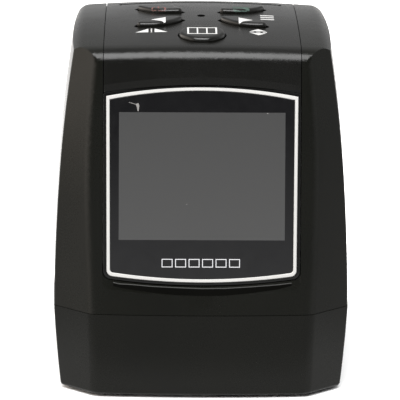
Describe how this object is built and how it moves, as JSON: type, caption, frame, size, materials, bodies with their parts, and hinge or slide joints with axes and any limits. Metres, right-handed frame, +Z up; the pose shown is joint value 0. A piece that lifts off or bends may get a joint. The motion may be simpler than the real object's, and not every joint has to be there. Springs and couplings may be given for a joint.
{
  "type": "film negative scanner",
  "caption": "Upright desktop scanner for film negatives, with a leaning display, petal and round push buttons on top and a film channel through its sides.",
  "frame": {"origin": "centre of the footprint, on the surface the feet stand on", "axes": "+Z up, +X to the right as seen from the display side, +Y towards the back; film travels along X"},
  "size_m": [0.0864, 0.086, 0.1033],
  "materials": {
    "housing_black": "fine satin moulded texture",
    "top_panel_black": "fine satin moulded texture",
    "bezel_black": "smooth gloss",
    "trim_silver": "satin silver",
    "lens_black": "clear acrylic, printed black on the back outside the window",
    "lcd_grey": "switched-off display behind a polariser",
    "button_black": "satin",
    "foot_rubber": "soft matt",
    "screw_steel": "zinc plated",
    "plate_steel": "tinned",
    "board_green": "solder resist",
    "chip_black": "moulded",
    "led_white": "lamp resin",
    "reflector_white": "white diffusing",
    "clear_glass": "clear",
    "light_pipe_clear": "smoked clear",
    "inner_black": "light absorbing",
    "plunger_grey": "moulded",
    "flex_amber": "polyimide film"
  },
  "bodies": {
    "root": {"upper_housing": "housing_black", "rear_panel": "housing_black", "base_housing": "housing_black", "bottom_cover": "housing_black", "top_panel": "top_panel_black", "bezel_frame": "bezel_black", "trim_ring": "trim_silver", "display_lens": "lens_black", "lcd_panel": "lcd_grey", "rubber_feet": "foot_rubber", "lcd_gasket": "foot_rubber", "case_screws": "screw_steel", "rear_screws": "screw_steel", "key_board_screws": "screw_steel", "main_board_screws": "screw_steel", "optics_screws": "screw_steel", "lcd_screws": "screw_steel", "lcd_frame": "plate_steel", "usb_connector": "plate_steel", "sd_socket": "plate_steel", "detent_spring": "plate_steel", "lcd_bracket": "plate_steel", "led_board": "board_green", "main_board": "board_green", "key_board": "board_green", "sensor_board": "board_green", "board_chips": "chip_black", "image_sensor": "chip_black", "tv_jack": "chip_black", "tact_switches": "chip_black", "backlight_leds": "led_white", "status_led": "led_white", "light_box": "reflector_white", "diffuser": "reflector_white", "light_window": "clear_glass", "lens_elements": "clear_glass", "ir_filter": "clear_glass", "light_pipe": "light_pipe_clear", "film_gate": "inner_black", "optical_chamber": "inner_black", "lens_holder": "inner_black", "lens_barrel": "inner_black", "sensor_mount": "inner_black", "lcd_flex_cable": "flex_amber", "sensor_flex_cable": "flex_amber", "key_flex_cable": "flex_amber", "backlight_cable": "flex_amber"},
    "power_key": {"power_button": "button_black", "power_plunger": "plunger_grey"},
    "menu_key": {"menu_button": "button_black", "menu_plunger": "plunger_grey"},
    "left_key": {"left_button": "button_black", "left_plunger": "plunger_grey"},
    "right_key": {"right_button": "button_black", "right_plunger": "plunger_grey"},
    "scan_key": {"scan_button": "button_black", "scan_plunger": "plunger_grey"},
    "detent": {"detent_pin": "inner_black"}
  },
  "joints": [
    {"name": "power_press", "type": "slide", "parent": "root", "child": "power_key", "axis": [0.0232, -0.0337, -0.9992], "range_m": [0, 0.0005], "stiffness_N_per_m": 300, "springref_m": -0.001},
    {"name": "menu_press", "type": "slide", "parent": "root", "child": "menu_key", "axis": [-0.0232, -0.0337, -0.9992], "range_m": [0, 0.0005], "stiffness_N_per_m": 300, "springref_m": -0.001},
    {"name": "left_press", "type": "slide", "parent": "root", "child": "left_key", "axis": [0.0232, 0.0243, -0.9994], "range_m": [0, 0.0005], "stiffness_N_per_m": 300, "springref_m": -0.001},
    {"name": "right_press", "type": "slide", "parent": "root", "child": "right_key", "axis": [-0.0232, 0.0243, -0.9994], "range_m": [0, 0.0005], "stiffness_N_per_m": 300, "springref_m": -0.001},
    {"name": "scan_press", "type": "slide", "parent": "root", "child": "scan_key", "axis": [0, 0.0697, -0.9976], "range_m": [0, 0.0005], "stiffness_N_per_m": 300, "springref_m": -0.001},
    {"name": "detent_slide", "type": "slide", "parent": "root", "child": "detent", "axis": [0, 1, 0], "range_m": [0, 0.0008], "stiffness_N_per_m": 300, "springref_m": -0.0012, "deforming": ["detent_spring"]}
  ]
}
